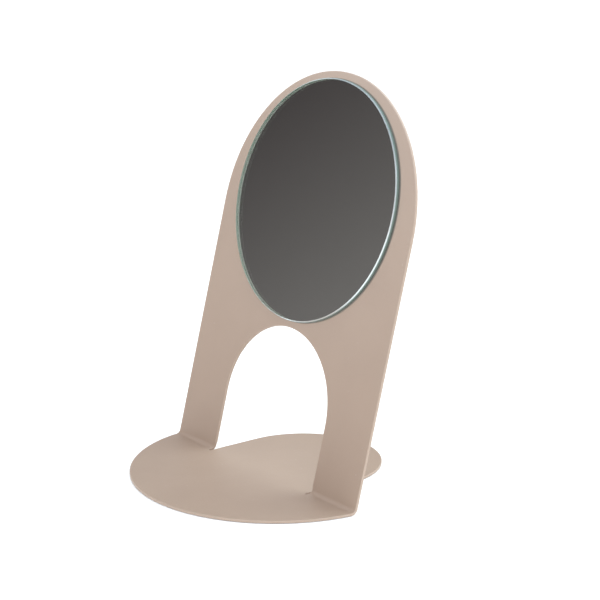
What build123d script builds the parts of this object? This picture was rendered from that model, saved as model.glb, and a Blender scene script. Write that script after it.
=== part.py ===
from build123d import *
import math
import os

# A table mirror. One flat steel blank is cut and folded once: its round lower end lies on the table,
# its long upper end stands up behind it, leans back and ends in an arch. A tongue cut out of the
# leaning panel isn't folded with it. It stays flat, reaches backwards and props the stand, and it
# leaves an arched window in the panel. A round mirror is stuck to the panel above the window.
#
# Millimetres. X runs across, Y towards the back, Z up from the table. X = 0 is the plane of symmetry,
# and Y = 0 is halfway between the front of the base and the tip of the tongue.
# "Up the slope" is measured on the front face of the panel from the inner corner, which is the line
# where the upper face of the base and the front face of the panel would meet without the bend.

# Sheet and fold
sheet = 1.5  # thickness of the coated sheet
bend_inside = 3.0  # inner radius of the fold
lean = 14.5  # degrees the panel leans back from upright
edge_round = 0.35  # rounding of the cut edges on the upper and front side, where the punch goes in

# Outline of the blank
width = 190.0  # across the panel, also twice the radius of the arch
waist = 0.4  # on each side the base is this much narrower than the panel where the fold starts
base_reach = 82.5  # from the inner corner forward to the front of the base
panel_length = 261.0  # up the slope from the inner corner to the top of the arch

# Mirror
glass_diameter = 157.0
glass_thickness = 3.0
front_arris = 0.8  # flat ground on the front rim of the glass, at 45 degrees
rear_arris = 0.5
top_margin = 5.0  # from the glass up to the top of the arch
silver_thickness = 0.1
backing_thickness = 0.1
coat_setback = 0.3  # silver and backing stop this far inside the rear arris

# Strips of double-sided tape behind the mirror
tape_thickness = 0.3
tape_width = 18.0
tape_count = 4
tape_side = 22.0  # straight across from the outer strips to the edge of the glass
tape_setback = 12.0  # the corners of a strip stop this far inside the edge of the glass

# Window and tongue
window_width = 105.0  # also twice the radius of its round top
bridge = 4.5  # sheet left between the lower edge of the glass and the top of the window
kerf = 0.8  # cut between the side of the tongue and the side of the window
tip_trim = 7.7  # the tongue is this much shorter than the window is high
relief_radius = 1.0  # round notch at each end of the fold beside the tongue
relief_depth = 1.0  # the notch runs this far past the fold

# Anti-slip pads under the base and the tongue
pad_diameter = 12.0
pad_thickness = 0.5
pad_setback = 8.0  # from the edge of the sheet to the edge of a pad

# Worked out from the sizes above
half = width / 2
fold_angle = 90.0 - lean
tangent = bend_inside * math.tan(math.radians(fold_angle) / 2)  # inner corner to the end of the bend
outside = bend_inside + sheet
chord_half = half - waist  # the base is a segment of a circle, with its chord along the fold
segment_height = base_reach - tangent
base_radius = (chord_half**2 + segment_height**2) / (2 * segment_height)
base_centre = base_radius - base_reach  # up the slope from the inner corner
flare = (base_centre + tangent) / chord_half  # slope of the base's side at the end of the chord
arch_centre = panel_length - half
glass_radius = glass_diameter / 2
glass_centre = panel_length - top_margin - glass_radius
window_half = window_width / 2
window_top = glass_centre - glass_radius - bridge
window_centre = window_top - window_half
tongue_half = window_half - kerf
tongue_tip = window_top - tip_trim
tongue_centre = tongue_tip - tongue_half
relief_x = window_half - kerf / 2
coat_radius = glass_radius - rear_arris - coat_setback
tape_pitch = (2 * (glass_radius - tape_side) - tape_width) / (tape_count - 1)
pad_radius = pad_diameter / 2

# The inner corner stands this far behind Y = 0 and this high above the table.
corner_y = (base_reach - tongue_tip) / 2
corner_z = pad_thickness + sheet

inner_corner = Vector(0, corner_y, corner_z)
slope = Vector(0, math.sin(math.radians(lean)), math.cos(math.radians(lean)))
outward = Vector(0, -slope.Z, slope.Y)  # out of the front face of the panel
base_top = Plane(origin=inner_corner, x_dir=(1, 0, 0), z_dir=(0, 0, 1))
panel_front = Plane(origin=inner_corner, x_dir=(1, 0, 0), z_dir=outward)
bend_axis = inner_corner + Vector(0, -tangent, bend_inside)
far = 4 * (width + panel_length)  # longer than anything here, for cutting tools
fold_sections = 4  # steps in which the sides of the fold are drawn


def base_half(forward):
    """Half the width of the base at a distance in front of the inner corner."""
    return math.sqrt(base_radius**2 - (base_centre + forward) ** 2)


def beyond(distance, sign):
    """Everything in a sheet's own plane above (sign 1) or below (sign -1) a line across it."""
    return Pos(0, distance + sign * far / 2) * Rectangle(far, far)


def arched(half_across, bottom, centre):
    """A straight-sided shape from bottom up to centre, closed by a half round."""
    sides = Pos(0, (bottom + centre) / 2) * Rectangle(2 * half_across, centre - bottom)
    return sides + Pos(0, centre) * Circle(half_across)


def slab(plane, outline):
    """A sheet with its face on the plane and its thickness behind it."""
    return extrude(plane * outline, amount=-sheet)


def fold_half(share):
    """Half the width of the fold at a share of its turn: it flares from the base and ends straight."""
    start = chord_half + 2 * tangent * flare * share * (1 - share) ** 2
    return start + waist * (3 * share**2 - 2 * share**3)


def radial(turn, across):
    """A rectangle standing out from the bend axis, turned round the axis from the base."""
    out = Vector(0, math.sin(turn), -math.cos(turn))
    near = bend_inside / 2
    reach = 2 * outside
    middle = bend_axis + out * (near + reach) / 2
    plane = Plane(origin=middle, x_dir=(1, 0, 0), z_dir=out.cross(Vector(1, 0, 0)))
    return plane * Rectangle(2 * across, reach - near)


def bend():
    """The fold on both sides of the tongue, with sides that join those of the base and the panel."""
    shares = [i / fold_sections for i in range(fold_sections + 1)]
    body = loft([radial(math.radians(fold_angle * share), fold_half(share)) for share in shares])
    across = Plane(origin=(0, bend_axis.Y, bend_axis.Z), x_dir=(0, 1, 0), z_dir=(1, 0, 0))
    ring = across * (Circle(outside) - Circle(bend_inside))
    gap = 2 * (relief_x + relief_radius)
    opening = Pos(0, bend_axis.Y, bend_axis.Z) * Box(gap, 4 * outside, 4 * outside)
    return (extrude(ring, amount=half + sheet, both=True) & body) - opening


def notches():
    """Two slots with round ends, one at each side of the tongue, that reach past the fold both ways."""
    reach = tangent + relief_depth
    slot = Rectangle(2 * relief_radius, 2 * reach)
    slot += Pos(0, reach) * Circle(relief_radius)
    slot += Pos(0, -reach) * Circle(relief_radius)
    return Pos(relief_x, 0) * slot + Pos(-relief_x, 0) * slot


def in_notch(point):
    """True for a point on the rim of a notch."""
    beside = abs(abs(point.X) - relief_x) < relief_radius + edge_round
    from_corner = math.hypot(point.Y - corner_y, point.Z - corner_z)
    return beside and from_corner < tangent + relief_depth + relief_radius + sheet


def outline_edge(edge):
    """True for a cut edge, and false for one across the sheet, along the fold or round a notch."""
    across_sheet = edge.length < 1.01 * sheet
    along_fold = edge.geom_type == GeomType.LINE and abs((edge % 0.5).X) > 0.999
    on_notch = in_notch(edge @ 0) and in_notch(edge @ 1)
    return not (across_sheet or along_fold or on_notch)


def in_front(edge):
    """True for an edge on the top of base or tongue, inside the bend or on the front of the panel."""
    point = edge @ 0.5
    from_axis = math.hypot(point.Y - bend_axis.Y, point.Z - bend_axis.Z)
    if from_axis < outside + edge_round:
        return from_axis < bend_inside + sheet / 2
    if point.Z < corner_z + sheet:
        return point.Z > corner_z - sheet / 2
    return (point - inner_corner).dot(outward) > -sheet / 2


def stand():
    """The folded sheet: base, bend, panel with its window, and flat tongue, with soft front edges."""
    base = (Pos(0, base_centre) * Circle(base_radius)) & beyond(-tangent, -1)
    flat = base + arched(tongue_half, -tangent, tongue_centre) - notches()
    upright = arched(half, tangent, arch_centre) - arched(window_half, 0, window_centre) - notches()
    body = slab(base_top, flat) + bend() + slab(panel_front, upright)
    return fillet(body.edges().filter_by(outline_edge).filter_by(in_front), edge_round)


def layer(radius, height, thickness):
    """A disc in line with the mirror, standing on a height above the front face of the panel."""
    centre = inner_corner + slope * glass_centre + outward * height
    plane = Plane(origin=centre, x_dir=(1, 0, 0), z_dir=outward)
    return extrude(plane * Circle(radius), amount=thickness)


def glass(height):
    """The glass disc, with a ground arris round its front rim and a finer one round its rear rim."""
    disc = layer(glass_radius, height, glass_thickness)
    rear, front = disc.edges().filter_by(GeomType.CIRCLE).sort_by(Axis(inner_corner, outward))
    disc = chamfer(front, front_arris)
    rear = disc.edges().filter_by(GeomType.CIRCLE).sort_by(Axis(inner_corner, outward))[0]
    return chamfer(rear, rear_arris)


def tape_strip(across):
    """One tape strip that runs up the slope behind the mirror, as long as the round glass allows."""
    reach = glass_radius - tape_setback
    half_length = math.sqrt(reach**2 - (abs(across) + tape_width / 2) ** 2)
    strip = Pos(across, glass_centre) * Rectangle(tape_width, 2 * half_length)
    return extrude(panel_front * strip, amount=tape_thickness)


def pad(across, forward):
    """One anti-slip disc stuck under the sheet, at a distance in front of the inner corner."""
    return Pos(across, corner_y - forward, pad_thickness / 2) * Cylinder(pad_radius, pad_thickness)


backing_height = tape_thickness
silver_height = backing_height + backing_thickness
glass_height = silver_height + silver_thickness
inset = pad_setback + pad_radius
fold_inset = tangent + inset
side_pad_x = base_half(fold_inset) - inset

pieces = {
    "stand": stand(),
    "mirror_glass": glass(glass_height),
    "mirror_silver": layer(coat_radius, silver_height, silver_thickness),
    "mirror_backing": layer(coat_radius, backing_height, backing_thickness),
    "pad_front": pad(0, base_reach - inset),
    "pad_left": pad(-side_pad_x, fold_inset),
    "pad_right": pad(side_pad_x, fold_inset),
    "pad_rear": pad(0, inset - tongue_tip),
}
for number in range(tape_count):
    across = (number - (tape_count - 1) / 2) * tape_pitch
    pieces[f"tape_strip_{number + 1}"] = tape_strip(across)

os.makedirs("parts", exist_ok=True)
for name, piece in pieces.items():
    export_step(piece, f"parts/{name}.step")
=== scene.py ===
import math

import bpy
import numpy as np
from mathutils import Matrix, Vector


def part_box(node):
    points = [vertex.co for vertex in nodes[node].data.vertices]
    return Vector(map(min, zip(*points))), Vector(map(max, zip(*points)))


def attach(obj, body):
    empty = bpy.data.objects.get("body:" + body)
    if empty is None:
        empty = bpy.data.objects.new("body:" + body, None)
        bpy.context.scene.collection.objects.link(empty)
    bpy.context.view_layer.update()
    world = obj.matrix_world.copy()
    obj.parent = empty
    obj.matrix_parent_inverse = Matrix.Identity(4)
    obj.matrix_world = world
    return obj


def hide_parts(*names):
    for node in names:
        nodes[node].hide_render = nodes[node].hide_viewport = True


# Looks of the table mirror: a powder-coated folded sheet stand with a round glass mirror on it.
# Metres. X runs across, Y towards the back, Z up from the table, as in the frame.
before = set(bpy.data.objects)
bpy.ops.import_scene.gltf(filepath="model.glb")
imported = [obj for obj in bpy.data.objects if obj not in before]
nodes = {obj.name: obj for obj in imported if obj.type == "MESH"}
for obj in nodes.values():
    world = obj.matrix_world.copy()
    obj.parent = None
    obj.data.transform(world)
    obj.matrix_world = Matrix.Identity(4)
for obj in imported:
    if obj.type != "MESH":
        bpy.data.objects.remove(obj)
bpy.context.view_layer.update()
MM = 0.001

# Sizes that the looks need and that the boxes of the nodes don't tell
LEAN = math.radians(14.5)  # of the panel, back from upright
SHEET = 1.5 * MM
PAD_HEIGHT = 0.5 * MM
BASE_REACH = 82.5 * MM  # from the inner corner forward to the front of the base
BEND_REACH = 2.32 * MM  # from the inner corner to either end of the bend
WAIST = 0.4 * MM  # on each side the base is this much narrower than the panel at the bend
PANEL_LENGTH = 261.0 * MM  # from the inner corner up to the top of the arch
WINDOW_WIDTH = 105.0 * MM
WINDOW_TOP = 94.5 * MM  # up the slope from the inner corner
TONGUE_GAP = 0.8 * MM  # between the side of the tongue and the side of the window
TONGUE_SHORT = 7.7 * MM  # the tongue is this much shorter than the window is high
FRONT_ARRIS = 0.8 * MM  # flats ground on the rims of the glass
REAR_ARRIS = 0.5 * MM
ARRIS_SOFTNESS = 0.12 * MM  # radius where a ground flat meets the next face
PAINTED_SHADOW_WIDTH = 0.7 * MM  # of the line of painted shade on the panel round the mirror
SILVER_GAP = 0.03 * MM  # the drawn silver lies this far behind the glass, so that the faces don't meet
PANEL_START = 0.2 * MM  # a place that is this far above the top of the base is on the panel
TONGUE_START = 2 * SHEET  # a place that is lower and this far behind the inner corner is on the tongue
EDGE_BAND = 0.9 * MM  # of lighter coat along a cut edge, thin there and painted lighter as a highlight
SILVER_EDGE_BAND = 0.5 * MM  # of dull silver along its edge
ARRIS_TONE_START = 0.10 * MM  # past the end of the ground wall the silvery tone begins
ARRIS_TONE_FULL = 0.36 * MM  # and is complete
TURN_STEPS = 512  # round the mirror
CORNER_STEPS = 5  # round one corner of a turned section

# Tones, as linear red, green and blue
WHITE = (1.0, 1.0, 1.0)
COAT = (0.345, 0.250, 0.190)
COAT_DRIFTED = (0.331, 0.239, 0.182)
COAT_LIT_ON_RELIEF_TOPS = (0.364, 0.266, 0.205)  # painted light: lighter on the high spots of its relief, so that its hollows look shaded
# lighter cut edges: thin coat, and partly a painted highlight on the rims
COAT_ON_EDGES_THIN_AND_LIT = (0.48, 0.375, 0.305)
DUST = (0.62, 0.58, 0.54)
# painted shade round the mirror, in place of the shadow of the glass
PAINTED_SHADOW_TONE = (0.130, 0.116, 0.094)
GLASS = (0.97, 0.99, 0.98)
GLASS_TINT = (0.10, 0.75, 0.52)
LAMP_THROUGH_GLASS = (0.90, 0.93, 0.92)
SHADED_WALL_REAR = (0.065, 0.090, 0.078)  # painted shade: the ground wall darker next to the panel
WALL_FRONT = (0.155, 0.210, 0.190)
ARRIS = (0.74, 0.78, 0.78)
ARRIS_DRIFTED = (0.68, 0.72, 0.72)
LIT_INSIDE_REAR = (0.60, 0.56, 0.54)  # painted light: the ground wall seen from inside the glass, pale as if lit through it
LIT_INSIDE_FRONT = (0.80, 0.75, 0.73)
SILVER = (0.945, 0.948, 0.940)
SILVER_DRIFTED = (0.935, 0.938, 0.930)
SILVER_EDGE = (0.55, 0.54, 0.52)
LACQUER = (0.10, 0.11, 0.12)
LACQUER_DRIFTED = (0.08, 0.09, 0.10)
TAPE = (0.72, 0.72, 0.70)
TAPE_DRIFTED = (0.66, 0.66, 0.63)
RUBBER = (0.045, 0.045, 0.045)
RUBBER_DRIFTED = (0.03, 0.03, 0.03)
FLOOR = (0.92, 0.92, 0.92)
FLOOR_DRIFTED = (0.91, 0.91, 0.91)
REAR_LIGHT = (0.86, 1.10, 1.18)
TOP_LIGHT = (0.70, 1.0, 1.35)
STUDIO_AHEAD = (0.450, 0.410, 0.405)  # in front and a little below, as gloss and mirror see it
STUDIO_DARK = (0.030, 0.022, 0.024)  # round about that
STUDIO_BRIGHT = (1.3, 1.3, 1.3)  # at the sides and back
STUDIO_OVERHEAD = (0.26, 0.27, 0.28)

# Other values of the looks
GLASS_IOR = 1.52
TINT_DENSITY = 9.0  # of the green tint inside the glass
HOLLOWS = 0.3  # noise lies between about these two values
TOPS = 0.7
RIM_METALLIC = 0.8  # of the silvery arris
EDGE_SHARE = 0.5  # how far the coat's tone turns into that of the cut edges
DUST_SHARE = 0.10
# how far the painted shade darkens the panel next to the rim
PAINTED_SHADOW_SHARE = 0.9
FLOOR_GLOW = 0.10
WHITE_IN_VIEW = 1.02  # strength of the white that the camera sees
WHITE_FROM_FRONT = 1.06  # strength of the white that lights matt surfaces
WHITE_FROM_BACK = 1.42

# Directions of the leaning panel and mirror
ACROSS = np.array([1.0, 0.0, 0.0])
SLOPE = np.array([0.0, math.sin(LEAN), math.cos(LEAN)])
OUTWARD = np.array([0.0, -math.cos(LEAN), math.sin(LEAN)])
TILT = math.pi / 2 - LEAN  # turns the XY plane into the panel's plane, about X

# The outline of the sheet, from its inner corner
stand_low, stand_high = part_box("stand")
HALF = (stand_high.x - stand_low.x) / 2
CORNER = (0.0, stand_low.y + BASE_REACH, PAD_HEIGHT + SHEET)
SEGMENT_HEIGHT = BASE_REACH - BEND_REACH
BASE_RADIUS = ((HALF - WAIST) ** 2 + SEGMENT_HEIGHT**2) / (2 * SEGMENT_HEIGHT)
BASE_CENTRE = BASE_RADIUS - BASE_REACH
ARCH_CENTRE = PANEL_LENGTH - HALF
WINDOW_HALF = WINDOW_WIDTH / 2
WINDOW_CENTRE = WINDOW_TOP - WINDOW_HALF
TONGUE_HALF = WINDOW_HALF - TONGUE_GAP
TONGUE_CENTRE = WINDOW_TOP - TONGUE_SHORT - TONGUE_HALF


def vertices(node):
    """All the vertices of a CAD node, as rows of an array."""
    mesh = nodes[node].data
    places = np.empty(3 * len(mesh.vertices))
    mesh.vertices.foreach_get("co", places)
    return places.reshape(-1, 3)


def disc_place(node):
    """Where a disc of the mirror is: the centre of its rear face, its radius and its thickness."""
    places = vertices(node)
    up, out = places @ SLOPE, places @ OUTWARD
    middle = (up.min() + up.max()) / 2
    return SLOPE * middle + OUTWARD * out.min(), np.abs(places[:, 0]).max(), np.ptp(out)


GLASS_CENTRE, GLASS_RADIUS, GLASS_THICKNESS = disc_place("mirror_glass")
SILVER_CENTRE, SILVER_RADIUS, SILVER_THICKNESS = disc_place("mirror_silver")


def placed(name, data):
    """A new object with that mesh, lamp or camera, in the scene."""
    piece = bpy.data.objects.new(name, data)
    bpy.context.scene.collection.objects.link(piece)
    return piece


# Turned pieces

def turned_section(corners, softness):
    """Section of a turned piece, from the axis at its rear, round the rim, to the axis at its front.

    Each corner becomes an arc of radius softness. With n1 and n2 the outward normals of the two sides
    that meet there, the arc's centre is corner - softness * (n1 + n2) / (1 + n1.n2), and its points
    are centre + softness * n, where n turns evenly from n1 to n2. Returns points and their normals,
    both as rows of (radius, height)."""
    corners = np.array(corners)
    along = np.diff(corners, axis=0)
    along /= np.linalg.norm(along, axis=1, keepdims=True)
    normals = np.stack([along[:, 1], -along[:, 0]], axis=1)
    first, second = normals[:-1, None], normals[1:, None]
    together = (first * second).sum(2, keepdims=True)
    turn = np.arccos(np.clip(together, -1, 1))
    share = np.linspace(0, 1, CORNER_STEPS + 1)[None, :, None]
    normal = (np.sin((1 - share) * turn) * first + np.sin(share * turn) * second) / np.sin(turn)
    centre = corners[1:-1, None] - softness * (first + second) / (1 + together)
    points = (centre + softness * normal).reshape(-1, 2)
    return (
        np.vstack([corners[:1], points, corners[-1:]]),
        np.vstack([normals[:1], normal.reshape(-1, 2), normals[-1:]]),
    )


def turned(name, centre, corners, softness):
    """A piece turned about the mirror's axis.

    Its surface is P(u, v) = centre + r(u) * (ACROSS * cos v + SLOPE * sin v) + h(u) * OUTWARD, with
    (r, h) the section, and its normals are the section's normals turned the same way. Both ends of the
    section lie on the axis and are closed by a fan, whose faces come last in the mesh."""
    section, normals = turned_section(corners, softness)
    angle = np.arange(TURN_STEPS) * 2 * math.pi / TURN_STEPS
    ring = ACROSS * np.cos(angle)[:, None] + SLOPE * np.sin(angle)[:, None]

    def carry(pairs):
        """Pairs of (radius, height), at every step round the axis, and then the two on the axis."""
        rings = pairs[1:-1, 0, None, None] * ring + pairs[1:-1, 1, None, None] * OUTWARD
        ends = pairs[[0, -1], 1, None] * OUTWARD
        return np.vstack([rings.reshape(-1, 3), ends])

    places = carry(section) + centre
    rows = len(section) - 2
    number = np.arange(rows * TURN_STEPS).reshape(rows, TURN_STEPS)
    beside = np.roll(number, -1, axis=1)
    rear, front = rows * TURN_STEPS, rows * TURN_STEPS + 1
    quads = np.stack([number[:-1], beside[:-1], beside[1:], number[1:]], axis=2).reshape(-1, 4)
    rear_fan = np.stack([np.full(TURN_STEPS, rear), beside[0], number[0]], axis=1)
    front_fan = np.stack([number[-1], beside[-1], np.full(TURN_STEPS, front)], axis=1)
    mesh = bpy.data.meshes.new(name)
    mesh.from_pydata(places.tolist(), [], quads.tolist() + rear_fan.tolist() + front_fan.tolist())
    mesh.shade_smooth()
    mesh.normals_split_custom_set_from_vertices(carry(normals))
    return placed(name, mesh)


# Node helpers

def feed(tree, socket, value):
    """Joins a socket to another node's output, or gives it a plain value. Colours become opaque."""
    if isinstance(value, bpy.types.NodeSocket):
        tree.links.new(value, socket)
    elif socket.type == "RGBA":
        socket.default_value = (*value, 1.0)
    else:
        socket.default_value = value


def put(tree, kind, inputs=None, **settings):
    """A new node of that kind, with its settings and what its inputs get."""
    node = tree.nodes.new(kind)
    for name, value in settings.items():
        setattr(node, name, value)
    for name, value in (inputs or {}).items():
        feed(tree, node.inputs[name], value)
    return node


def result_of(tree, operation, *values):
    """The result of one operation on numbers or outputs."""
    node = put(tree, "ShaderNodeMath", operation=operation)
    for socket, value in zip(node.inputs, values):
        feed(tree, socket, value)
    return node.outputs[0]


def between(tree, value, low, high, start=0.0, end=1.0):
    """start where value is low, end where it is high, and a smooth change in between."""
    inputs = {"Value": value, "From Min": low, "From Max": high, "To Min": start, "To Max": end}
    return put(tree, "ShaderNodeMapRange", inputs, interpolation_type="SMOOTHSTEP").outputs[0]


def hypotenuse(tree, first, second):
    """The square root of the sum of both squares."""
    squares = [result_of(tree, "MULTIPLY", side, side) for side in (first, second)]
    return result_of(tree, "SQRT", result_of(tree, "ADD", *squares))


def number_mix(tree, share, first, second):
    """The first number where share is 0, the second where it is 1."""
    node = put(tree, "ShaderNodeMix", data_type="FLOAT")
    feed(tree, node.inputs[0], share)
    feed(tree, node.inputs[2], first)
    feed(tree, node.inputs[3], second)
    return node.outputs[0]


def colour_mix(tree, share, first, second):
    """The first colour where share is 0, the second where it is 1."""
    node = put(tree, "ShaderNodeMix", data_type="RGBA")
    feed(tree, node.inputs[0], share)
    feed(tree, node.inputs[6], first)
    feed(tree, node.inputs[7], second)
    return node.outputs[2]


def shader_mix(tree, share, first, second):
    """The first shader where share is 0, the second where it is 1."""
    node = put(tree, "ShaderNodeMixShader", {"Fac": share})
    feed(tree, node.inputs[1], first)
    feed(tree, node.inputs[2], second)
    return node.outputs[0]


def shader_group(name, inputs, outputs):
    """An empty node group with those sockets. Returns its tree, what comes in and what goes out."""
    tree = bpy.data.node_groups.new(name, "ShaderNodeTree")
    for label, kind in inputs.items():
        tree.interface.new_socket(name=label, in_out="INPUT", socket_type="NodeSocket" + kind)
    for label, kind in outputs.items():
        tree.interface.new_socket(name=label, in_out="OUTPUT", socket_type="NodeSocket" + kind)
    return tree, put(tree, "NodeGroupInput").outputs, put(tree, "NodeGroupOutput").inputs


def place_group(tree, group, inputs):
    """That group's outputs, with its inputs set."""
    return put(tree, "ShaderNodeGroup", inputs, node_tree=group).outputs


# Effects that several finishes share

def noise(tree, place, scale, detail=2.0, roughness=0.5):
    """Noise of that many lumps to the metre."""
    inputs = {"Vector": place, "Scale": scale, "Detail": detail, "Roughness": roughness}
    return put(tree, "ShaderNodeTexNoise", inputs).outputs["Fac"]


def grain_effect():
    """Fine relief of a coat or a moulding, and the slow drift of its tone.

    Height is a coarse and a three times finer noise, 7 to 3. Drift is a noise a fortieth as fine.
    Speck is 1 on a few small spots, such as dust or a nib in the coat, where a noise a third as fine
    is at its highest."""
    inputs = {"Place": "Vector", "Grains per metre": "Float"}
    outputs = {"Height": "Float", "Drift": "Float", "Speck": "Float"}
    tree, given, result = shader_group("surface grain", inputs, outputs)
    place, grains = given["Place"], given["Grains per metre"]
    coarse = result_of(tree, "MULTIPLY", noise(tree, place, grains), 0.7)
    finer_noise = noise(tree, place, result_of(tree, "MULTIPLY", grains, 3.0))
    fine = result_of(tree, "MULTIPLY", finer_noise, 0.3)
    feed(tree, result["Height"], result_of(tree, "ADD", coarse, fine))
    drift = noise(tree, place, result_of(tree, "DIVIDE", grains, 40.0), 3.0, 0.55)
    feed(tree, result["Drift"], between(tree, drift, HOLLOWS, TOPS))
    spots = noise(tree, place, result_of(tree, "DIVIDE", grains, 3.0), 1.0)
    feed(tree, result["Speck"], between(tree, spots, 0.76, 0.80))
    return tree


def slope_effect():
    """Place on the leaning panel or mirror, measured from an origin on it.

    Across is along X, Up goes up the slope, Out stands out from it, and Radius is the distance from
    the origin's own axis: the square root of Across squared plus Up squared."""
    inputs = {"Place": "Vector", "Origin": "Vector"}
    outputs = {"Across": "Float", "Up": "Float", "Out": "Float", "Radius": "Float"}
    tree, given, result = shader_group("place on the slope", inputs, outputs)
    turned_place = {"Vector": given["Place"], "Location": given["Origin"], "Rotation": (TILT, 0, 0)}
    mapping = put(tree, "ShaderNodeMapping", turned_place, vector_type="TEXTURE")
    parts = put(tree, "ShaderNodeSeparateXYZ", {"Vector": mapping.outputs[0]}).outputs
    for label, part in zip(("Across", "Up", "Out"), parts):
        feed(tree, result[label], part)
    feed(tree, result["Radius"], hypotenuse(tree, parts[0], parts[1]))
    return tree


def arch_reach(tree, across, up, centre):
    """Distance from the middle line of an arch: straight across below its centre, and round it above."""
    past = result_of(tree, "MAXIMUM", result_of(tree, "SUBTRACT", up, centre), 0.0)
    return hypotenuse(tree, across, past)


def cut_edge_effect(slope_group):
    """Edge is 1 on the cut edges of the sheet and 0 from a short way inside them.

    Panel, window and tongue are an arch each: their outline lies where the reach from the middle line
    equals half their width. The base is round, so its reach is taken from its centre. Below the top
    of the base the place is on the base or, behind the bend, on the tongue."""
    tree, given, result = shader_group("cut edge", {"Place": "Vector", "Band": "Float"}, {"Edge": "Float"})
    on_slope = place_group(tree, slope_group, {"Place": given["Place"], "Origin": CORNER})
    flat = put(tree, "ShaderNodeSeparateXYZ", {"Vector": given["Place"]}).outputs
    across, up = on_slope["Across"], on_slope["Up"]
    back = result_of(tree, "SUBTRACT", flat[1], CORNER[1])
    leaning = result_of(tree, "GREATER_THAN", flat[2], CORNER[2] + PANEL_START)
    behind = result_of(tree, "GREATER_THAN", back, TONGUE_START)
    panel = result_of(tree, "SUBTRACT", HALF, arch_reach(tree, across, up, ARCH_CENTRE))
    window = result_of(tree, "SUBTRACT", arch_reach(tree, across, up, WINDOW_CENTRE), WINDOW_HALF)
    from_centre = hypotenuse(tree, across, result_of(tree, "SUBTRACT", back, BASE_CENTRE))
    base = result_of(tree, "SUBTRACT", BASE_RADIUS, from_centre)
    tongue = result_of(tree, "SUBTRACT", TONGUE_HALF, arch_reach(tree, across, back, TONGUE_CENTRE))
    lying = number_mix(tree, behind, base, tongue)
    standing = result_of(tree, "MINIMUM", panel, window)
    distance = number_mix(tree, leaning, lying, standing)
    feed(tree, result["Edge"], between(tree, distance, 0.0, given["Band"], 1.0, 0.0))
    return tree


grain_group = grain_effect()
slope_group = slope_effect()
cut_edge_group = cut_edge_effect(slope_group)


# Finishes

def finish_of(name):
    """A new node material. Returns it, its tree, its Principled shader and the place on the piece."""
    material = bpy.data.materials.new(name)
    material.use_nodes = True
    tree = material.node_tree
    shader = tree.nodes["Principled BSDF"]
    return material, tree, shader, put(tree, "ShaderNodeTexCoord").outputs["Object"]


def roughen(tree, shader, height, low, high):
    """Roughness is low in the hollows of a relief and high on its tops."""
    feed(tree, shader.inputs["Roughness"], between(tree, height, HOLLOWS, TOPS, low, high))


def haze(tree, drift, most):
    """Roughness of a clean, clear surface: none, and up to most where its tone drifts."""
    return between(tree, drift, 0.0, 1.0, 0.0, most)


def raise_relief(tree, shader, height, strength, depth):
    """Lets that height, from 0 to 1, shade the surface as a relief of that depth."""
    bump = put(tree, "ShaderNodeBump", {"Height": height, "Strength": strength, "Distance": depth})
    feed(tree, shader.inputs["Normal"], bump.outputs[0])


def plain_coat(name, tone, drifted, roughness, grains, relief, specular=0.5):
    """A matt finish: two tones that drift into each other, uneven roughness and fine relief."""
    material, tree, shader, place = finish_of(name)
    grain = place_group(tree, grain_group, {"Place": place, "Grains per metre": grains})
    feed(tree, shader.inputs["Base Color"], colour_mix(tree, grain["Drift"], tone, drifted))
    roughen(tree, shader, grain["Height"], roughness - 0.06, roughness + 0.06)
    raise_relief(tree, shader, grain["Height"], strength=0.6, depth=relief)
    shader.inputs["Specular IOR Level"].default_value = specular
    return material


def powder_coat():
    """Fine matt powder coat, beige, a little lighter and smoother where it draws thin on cut edges. The
    lighter tone there is partly a painted highlight on the rims.

    A thin dark line of painted shade runs round the mirror, where the glass stands off it and would shade
    the panel."""
    material, tree, shader, place = finish_of("beige_powder_coat")
    grain = place_group(tree, grain_group, {"Place": place, "Grains per metre": 1100.0})
    edge = place_group(tree, cut_edge_group, {"Place": place, "Band": EDGE_BAND})["Edge"]
    face = colour_mix(tree, grain["Drift"], COAT, COAT_DRIFTED)
    # painted light on the high spots of the relief, painted shade in its hollows
    relief_tops_lit = between(tree, grain["Height"], 0.35, 0.65, 0.0, 0.35)
    toned = colour_mix(tree, relief_tops_lit, face, COAT_LIT_ON_RELIEF_TOPS)
    # cut edges lighter where the coat draws thin, and partly as a painted highlight
    edges_thin_and_lit = colour_mix(tree, result_of(tree, "MULTIPLY", edge, EDGE_SHARE), toned, COAT_ON_EDGES_THIN_AND_LIT)
    dust = result_of(tree, "MULTIPLY", grain["Speck"], DUST_SHARE)
    dusted = colour_mix(tree, dust, edges_thin_and_lit, DUST)
    # a line of painted shade round the mirror, in place of the glass's own shadow
    by_mirror = place_group(tree, slope_group, {"Place": place, "Origin": tuple(GLASS_CENTRE)})
    in_front = result_of(tree, "GREATER_THAN", by_mirror["Out"], -SHEET)
    line_end = GLASS_RADIUS + PAINTED_SHADOW_WIDTH
    close = between(tree, by_mirror["Radius"], GLASS_RADIUS, line_end, PAINTED_SHADOW_SHARE, 0.0)
    painted_shadow = result_of(tree, "MULTIPLY", in_front, close)
    feed(tree, shader.inputs["Base Color"], colour_mix(tree, painted_shadow, dusted, PAINTED_SHADOW_TONE))
    rough = between(tree, grain["Height"], HOLLOWS, TOPS, 0.50, 0.64)
    smoother = result_of(tree, "MULTIPLY", edge, 0.08)
    feed(tree, shader.inputs["Roughness"], result_of(tree, "SUBTRACT", rough, smoother))
    raise_relief(tree, shader, grain["Height"], strength=0.5, depth=0.04 * MM)
    shader.inputs["Specular IOR Level"].default_value = 0.4
    return material


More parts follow.
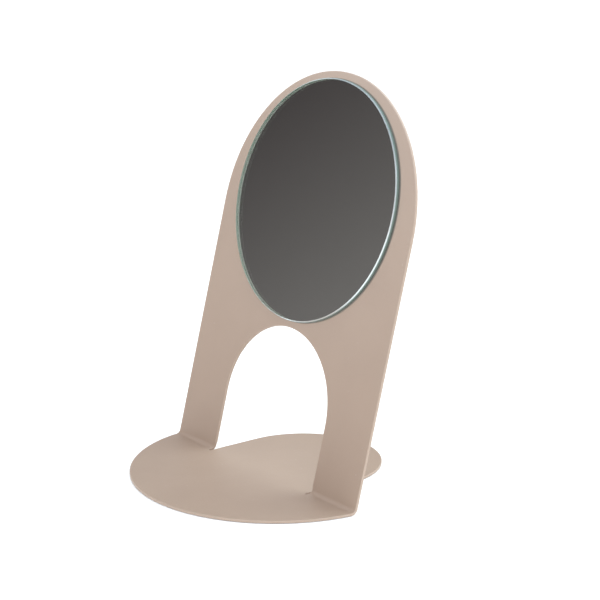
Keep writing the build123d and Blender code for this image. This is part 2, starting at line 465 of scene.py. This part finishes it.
def float_glass():
    """Clear float glass with a faint green tint and a trace of haze that drifts over it. Light from
    the lamps passes straight through, so that it reaches the ground rim from inside."""
    material, tree, shader, place = finish_of("float_glass")
    grain = place_group(tree, grain_group, {"Place": place, "Grains per metre": 900.0})
    feed(tree, shader.inputs["Roughness"], haze(tree, grain["Drift"], 0.010))
    feed(tree, shader.inputs["Base Color"], GLASS)
    shader.inputs["Metallic"].default_value = 0.0
    shader.inputs["Transmission Weight"].default_value = 1.0
    shader.inputs["IOR"].default_value = GLASS_IOR
    tint = put(tree, "ShaderNodeVolumeAbsorption", {"Color": GLASS_TINT, "Density": TINT_DENSITY})
    through = put(tree, "ShaderNodeBsdfTransparent", {"Color": LAMP_THROUGH_GLASS})
    from_lamp = put(tree, "ShaderNodeLightPath").outputs["Is Shadow Ray"]
    ends = tree.nodes["Material Output"].inputs
    feed(tree, ends["Volume"], tint.outputs[0])
    feed(tree, ends["Surface"], shader_mix(tree, from_lamp, shader.outputs[0], through.outputs[0]))
    return material


def ground_rim():
    """The ground rim of the glass: sea green on the wall, with painted shade darker towards the panel, and
    silvery on the front arris, through which the silver behind the glass shines. Seen from inside the glass
    the rim is painted pale, as painted light in place of light piped through it."""
    material, tree, shader, place = finish_of("ground_rim")
    on_slope = place_group(tree, slope_group, {"Place": place, "Origin": tuple(GLASS_CENTRE)})
    grain = place_group(tree, grain_group, {"Place": place, "Grains per metre": 3500.0})
    wall_end = GLASS_THICKNESS - FRONT_ARRIS
    out = on_slope["Out"]
    arris = between(tree, out, wall_end + ARRIS_TONE_START, wall_end + ARRIS_TONE_FULL)
    forward = between(tree, out, 0.0, wall_end)
    # painted shade: the wall darker towards the panel
    wall_tone = colour_mix(tree, forward, SHADED_WALL_REAR, WALL_FRONT)
    arris_tone = colour_mix(tree, grain["Drift"], ARRIS, ARRIS_DRIFTED)
    outer_tone = colour_mix(tree, arris, wall_tone, arris_tone)
    inside = put(tree, "ShaderNodeNewGeometry").outputs["Backfacing"]
    # painted light: the rim seen from inside the glass is pale, in place of light piped through the glass
    painted_inner_light = colour_mix(tree, between(tree, forward, 0.5, 0.75), LIT_INSIDE_REAR, LIT_INSIDE_FRONT)
    feed(tree, shader.inputs["Base Color"], colour_mix(tree, inside, outer_tone, painted_inner_light))
    covered = result_of(tree, "MULTIPLY", inside, RIM_METALLIC)
    silvery = result_of(tree, "SUBTRACT", RIM_METALLIC, covered)
    feed(tree, shader.inputs["Metallic"], result_of(tree, "MULTIPLY", arris, silvery))
    roughen(tree, shader, grain["Height"], 0.26, 0.38)
    raise_relief(tree, shader, grain["Height"], strength=0.4, depth=0.01 * MM)
    return material


def silver():
    """The silvered layer: a clean mirror, with a slight haze that drifts and a dull line at its edge."""
    material, tree, shader, place = finish_of("silvering")
    on_slope = place_group(tree, slope_group, {"Place": place, "Origin": tuple(SILVER_CENTRE)})
    grain = place_group(tree, grain_group, {"Place": place, "Grains per metre": 900.0})
    edge = between(tree, on_slope["Radius"], SILVER_RADIUS - SILVER_EDGE_BAND, SILVER_RADIUS)
    tone = colour_mix(tree, grain["Drift"], SILVER, SILVER_DRIFTED)
    feed(tree, shader.inputs["Base Color"], colour_mix(tree, edge, tone, SILVER_EDGE))
    dull = result_of(tree, "MULTIPLY", edge, 0.2)
    rough = result_of(tree, "ADD", haze(tree, grain["Drift"], 0.012), dull)
    feed(tree, shader.inputs["Roughness"], rough)
    shader.inputs["Metallic"].default_value = 1.0
    return material


def dress(node, material):
    """A CAD node keeps its shape and gets that material."""
    mesh = nodes[node].data
    mesh.materials.clear()
    mesh.materials.append(material)


def new_piece(piece, node, material):
    """A piece that stands for a CAD node, on the stand's body."""
    piece.data.materials.append(material)
    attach(piece, "root")
    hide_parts(node)


def mirror():
    """The glass disc, with clear faces and a ground rim, and the silver behind it.

    Matt surfaces don't see the glass, so it doesn't darken the panel beside it."""
    rim, front = GLASS_RADIUS, GLASS_THICKNESS
    glass_corners = [
        (0, 0),
        (rim - REAR_ARRIS, 0),
        (rim, REAR_ARRIS),
        (rim, front - FRONT_ARRIS),
        (rim - FRONT_ARRIS, front),
        (0, front),
    ]
    glass = turned("glass_disc", GLASS_CENTRE, glass_corners, ARRIS_SOFTNESS)
    new_piece(glass, "mirror_glass", float_glass())
    glass.data.materials.append(ground_rim())
    glass.visible_diffuse = False
    faces = glass.data.polygons
    on_rim = np.arange(len(faces)) < len(faces) - 2 * TURN_STEPS  # all but the two fans
    faces.foreach_set("material_index", on_rim.astype(np.int32))
    depth = SILVER_THICKNESS - SILVER_GAP
    silver_corners = [(0, 0), (SILVER_RADIUS, 0), (SILVER_RADIUS, depth), (0, depth)]
    layer = turned("silver_layer", SILVER_CENTRE, silver_corners, SILVER_GAP / 2)
    new_piece(layer, "mirror_silver", silver())


def dress_cad_nodes():
    """The stand, the backing, the tape and the pads keep their shapes and get their finishes."""
    dress("stand", powder_coat())
    lacquer = plain_coat("backing_lacquer", LACQUER, LACQUER_DRIFTED, 0.55, grains=900.0, relief=0.01 * MM)
    tape = plain_coat("white_tape", TAPE, TAPE_DRIFTED, 0.6, grains=2500.0, relief=0.02 * MM)
    rubber = plain_coat("dark_rubber", RUBBER, RUBBER_DRIFTED, 0.75, grains=2000.0, relief=0.05 * MM)
    dress("mirror_backing", lacquer)
    for node in nodes:
        if node.startswith("tape_strip"):
            dress(node, tape)
        if node.startswith("pad_"):
            dress(node, rubber)


# Stage: floor, light and camera

FLOOR_RADIUS = 12.0
FLOOR_STEPS = 128  # round its rim
AIM = (15.55 * MM, 17.94 * MM, 115.26 * MM)  # what the camera looks at
TOP = (0.0, 50.0 * MM, 240.0 * MM)  # the upper part of the panel
CAMERA_ROUND = math.radians(52.04)  # round from the front towards the right
CAMERA_UP = math.radians(13.96)
CAMERA_DISTANCE = 981.0 * MM
CAMERA_LENS = 93.41  # millimetres
CAMERA_SENSOR = 36.0


def floor():
    """A plain pale floor, round and large enough to fill the view. It glows a little, so that the
    stand leaves no grey patch on it."""
    angle = np.arange(FLOOR_STEPS) * 2 * math.pi / FLOOR_STEPS
    rim = np.stack([np.cos(angle), np.sin(angle), np.zeros(FLOOR_STEPS)], axis=1) * FLOOR_RADIUS
    mesh = bpy.data.meshes.new("floor")
    mesh.from_pydata(rim.tolist(), [], [list(range(FLOOR_STEPS))])
    paint = plain_coat("floor_paint", FLOOR, FLOOR_DRIFTED, 0.9, grains=60.0, relief=0.0, specular=0.1)
    glow = paint.node_tree.nodes["Principled BSDF"].inputs
    feed(paint.node_tree, glow["Emission Color"], WHITE)
    glow["Emission Strength"].default_value = FLOOR_GLOW
    mesh.materials.append(paint)
    placed("floor", mesh)


def soft_light(name, place, target, size, power, colour=WHITE):
    """A soft box that faces its target. It isn't seen through glass, so the mirror doesn't show it."""
    lamp = bpy.data.lights.new(name, "AREA")
    lamp.shape = "RECTANGLE"
    lamp.size, lamp.size_y = size
    lamp.energy = power
    lamp.color = colour
    box = placed(name, lamp)
    box.location = place
    box.rotation_euler = facing(np.array(target) - np.array(place))
    box.visible_transmission = False
    return box


def facing(direction):
    """Turns that make an object's -Z axis look that way, with its +Y axis up."""
    flat = math.hypot(direction[0], direction[1])
    return (math.atan2(flat, -direction[2]), 0.0, math.atan2(-direction[0], direction[1]))


def lights():
    """Soft boxes in front, at the right and above the back, and a small one close to the arch."""
    soft_light("front_light", (0.9, -1.8, 0.4), AIM, size=(1.2, 0.6), power=3.0)
    soft_light("side_light", (1.7, -0.6, 1.2), AIM, size=(1.2, 1.2), power=5.8)
    soft_light("rear_light", (0.3, 0.75, 1.25), AIM, size=(0.9, 0.9), power=9.2, colour=REAR_LIGHT)
    near = soft_light("top_light", (0.06, -0.14, 0.43), TOP, size=(0.3, 0.3), power=0.25, colour=TOP_LIGHT)
    near.data.spread = math.radians(100)
    near.visible_camera = False
    near.visible_glossy = False


def background(tree, colour, strength):
    """A world shader of that colour and strength."""
    return put(tree, "ShaderNodeBackground", {"Color": colour, "Strength": strength}).outputs[0]


def surroundings():
    """A white studio. Matt surfaces are lit by white, a little more of it from behind. Gloss and mirror
    see it grey ahead, most of all a little below the horizon, dark round about that, bright at the
    sides and back, and dull overhead. A ray that has met a matt surface sees white everywhere.

    The borders are values of back and up, which are parts of a direction of length 1, and of ahead,
    which is -0.45 * up - back and is largest in front and a little below the horizon."""
    world = bpy.data.worlds.new("studio")
    bpy.context.scene.world = world
    world.use_nodes = True
    tree = world.node_tree
    tree.nodes.clear()
    direction = put(tree, "ShaderNodeTexCoord").outputs["Generated"]
    parts = put(tree, "ShaderNodeSeparateXYZ", {"Vector": direction}).outputs
    back, up = parts[1], parts[2]
    down = result_of(tree, "MULTIPLY", up, -0.45)
    ahead = result_of(tree, "SUBTRACT", down, back)
    front = colour_mix(tree, between(tree, ahead, 0.38, 1.0), STUDIO_DARK, STUDIO_AHEAD)
    beside = colour_mix(tree, between(tree, back, -0.50, -0.20), front, STUDIO_BRIGHT)
    studio = colour_mix(tree, between(tree, up, 0.35, 0.60), beside, STUDIO_OVERHEAD)
    rays = put(tree, "ShaderNodeLightPath").outputs
    reflected = background(tree, studio, 1.0)
    in_view = background(tree, WHITE, WHITE_IN_VIEW)
    strength = between(tree, back, -0.1, 0.6, WHITE_FROM_FRONT, WHITE_FROM_BACK)
    on_matt = background(tree, WHITE, strength)
    clear = result_of(tree, "MAXIMUM", rays["Is Glossy Ray"], rays["Is Transmission Ray"])
    before_matt = result_of(tree, "LESS_THAN", rays["Diffuse Depth"], 0.5)
    gloss = result_of(tree, "MULTIPLY", clear, before_matt)
    white = shader_mix(tree, rays["Is Camera Ray"], on_matt, in_view)
    surface = put(tree, "ShaderNodeOutputWorld").inputs["Surface"]
    feed(tree, surface, shader_mix(tree, gloss, white, reflected))


def camera():
    """The camera stands where the photograph was taken, for an image of 600 by 600."""
    lens = bpy.data.cameras.new("camera")
    lens.sensor_width = CAMERA_SENSOR
    lens.lens = CAMERA_LENS
    eye = placed("camera", lens)
    level = math.cos(CAMERA_UP)
    back = np.array([math.sin(CAMERA_ROUND) * level, -math.cos(CAMERA_ROUND) * level, math.sin(CAMERA_UP)])
    eye.location = np.array(AIM) + back * CAMERA_DISTANCE
    eye.rotation_euler = facing(-back)
    bpy.context.scene.camera = eye


mirror()
dress_cad_nodes()
floor()
lights()
surroundings()
camera()
bpy.context.scene.view_settings.view_transform = "Standard"
